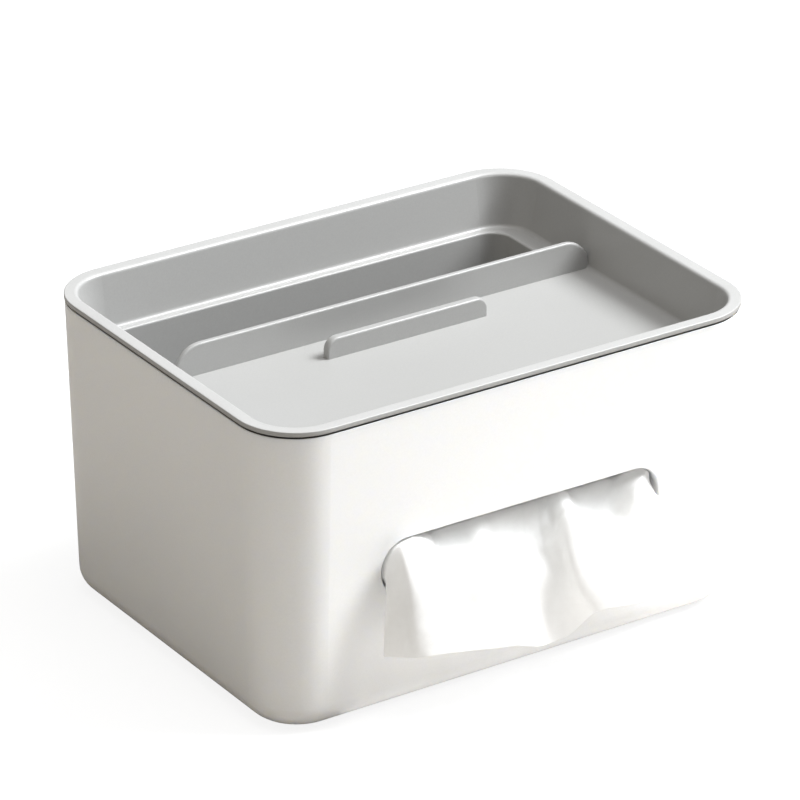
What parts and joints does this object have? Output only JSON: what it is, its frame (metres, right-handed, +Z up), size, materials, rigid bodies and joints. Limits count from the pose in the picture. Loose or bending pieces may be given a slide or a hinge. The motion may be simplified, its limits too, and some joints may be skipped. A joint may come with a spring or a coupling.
{
  "type": "tissue box organizer",
  "caption": "Round-cornered desktop tissue box with a long front slot and a lift-out grey storage tray that has a shallow front, a phone stop, an upright divider and a deep rear well.",
  "frame": {"origin": "under the middle of the box, on the surface that its pads stand on", "axes": "+X along the long side, -Y to the front with the tissue slot, +Z up"},
  "size_m": [0.2, 0.1638, 0.1144],
  "materials": {
    "white_plastic": "satin moulded white",
    "grey_plastic": "satin moulded light grey",
    "pad_rubber": "translucent silicone, matte",
    "tissue_refill": "soft two-ply tissue paper, folded",
    "tissue_paper": "soft two-ply tissue paper"
  },
  "bodies": {
    "box": {"outer_box": "white_plastic", "foot_pads": "pad_rubber", "tissue_stack": "tissue_refill"},
    "tray": {"storage_tray": "grey_plastic"},
    "tissue": {"tissue_sheet": "tissue_paper"}
  },
  "joints": [
    {"name": "tray_lift", "type": "slide", "parent": "box", "child": "tray", "axis": [0, 0, 1], "range_m": [0, 0.12]},
    {"name": "tissue_pull", "type": "slide", "parent": "box", "child": "tissue", "axis": [0, -1, 0], "range_m": [0, 0.024]}
  ]
}
